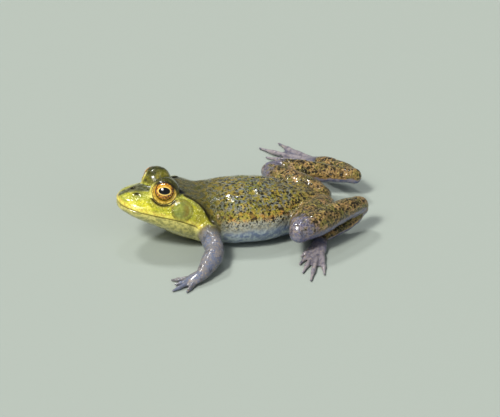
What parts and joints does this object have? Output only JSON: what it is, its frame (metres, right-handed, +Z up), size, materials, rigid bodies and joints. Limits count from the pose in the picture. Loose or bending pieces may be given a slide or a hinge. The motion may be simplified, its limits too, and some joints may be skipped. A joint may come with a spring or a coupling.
{
  "type": "bullfrog",
  "caption": "Life-size bullfrog lying on its belly, head raised and turned, arms spread and hind legs drawn up, in named body pieces.",
  "frame": {"origin": "middle of the flat of the belly, on the floor", "axes": "+Z up; the body looks along -X, its left side is on -Y"},
  "size_m": [0.1509, 0.1808, 0.0429],
  "materials": {
    "head_skin": "wet, smooth, yellow-green",
    "throat_skin": "wet, pale yellow mottled with grey",
    "ear_skin": "thin, smooth, olive with a brown rim",
    "back_skin": "wet, finely warty, olive brown with dark specks",
    "arm_skin": "wet, smooth, grey with brown mottling",
    "leg_skin": "wet, finely warty, brown with dark spots and bars",
    "web_skin": "thin, wet, mauve grey",
    "eye": "clear and wet over a golden iris with a black oval pupil"
  },
  "bodies": {
    "root": {"head": "head_skin", "lower_jaw": "throat_skin", "tympanum_left": "ear_skin", "tympanum_right": "ear_skin", "eye_left": "eye", "eye_right": "eye", "trunk": "back_skin", "upper_arm_left": "arm_skin", "upper_arm_right": "arm_skin", "forearm_left": "arm_skin", "forearm_right": "arm_skin", "hand_left": "arm_skin", "hand_right": "arm_skin", "thigh_left": "leg_skin", "thigh_right": "leg_skin", "shank_left": "leg_skin", "shank_right": "leg_skin", "tarsus_left": "leg_skin", "tarsus_right": "leg_skin", "foot_left": "web_skin", "foot_right": "web_skin"}
  },
  "joints": []
}
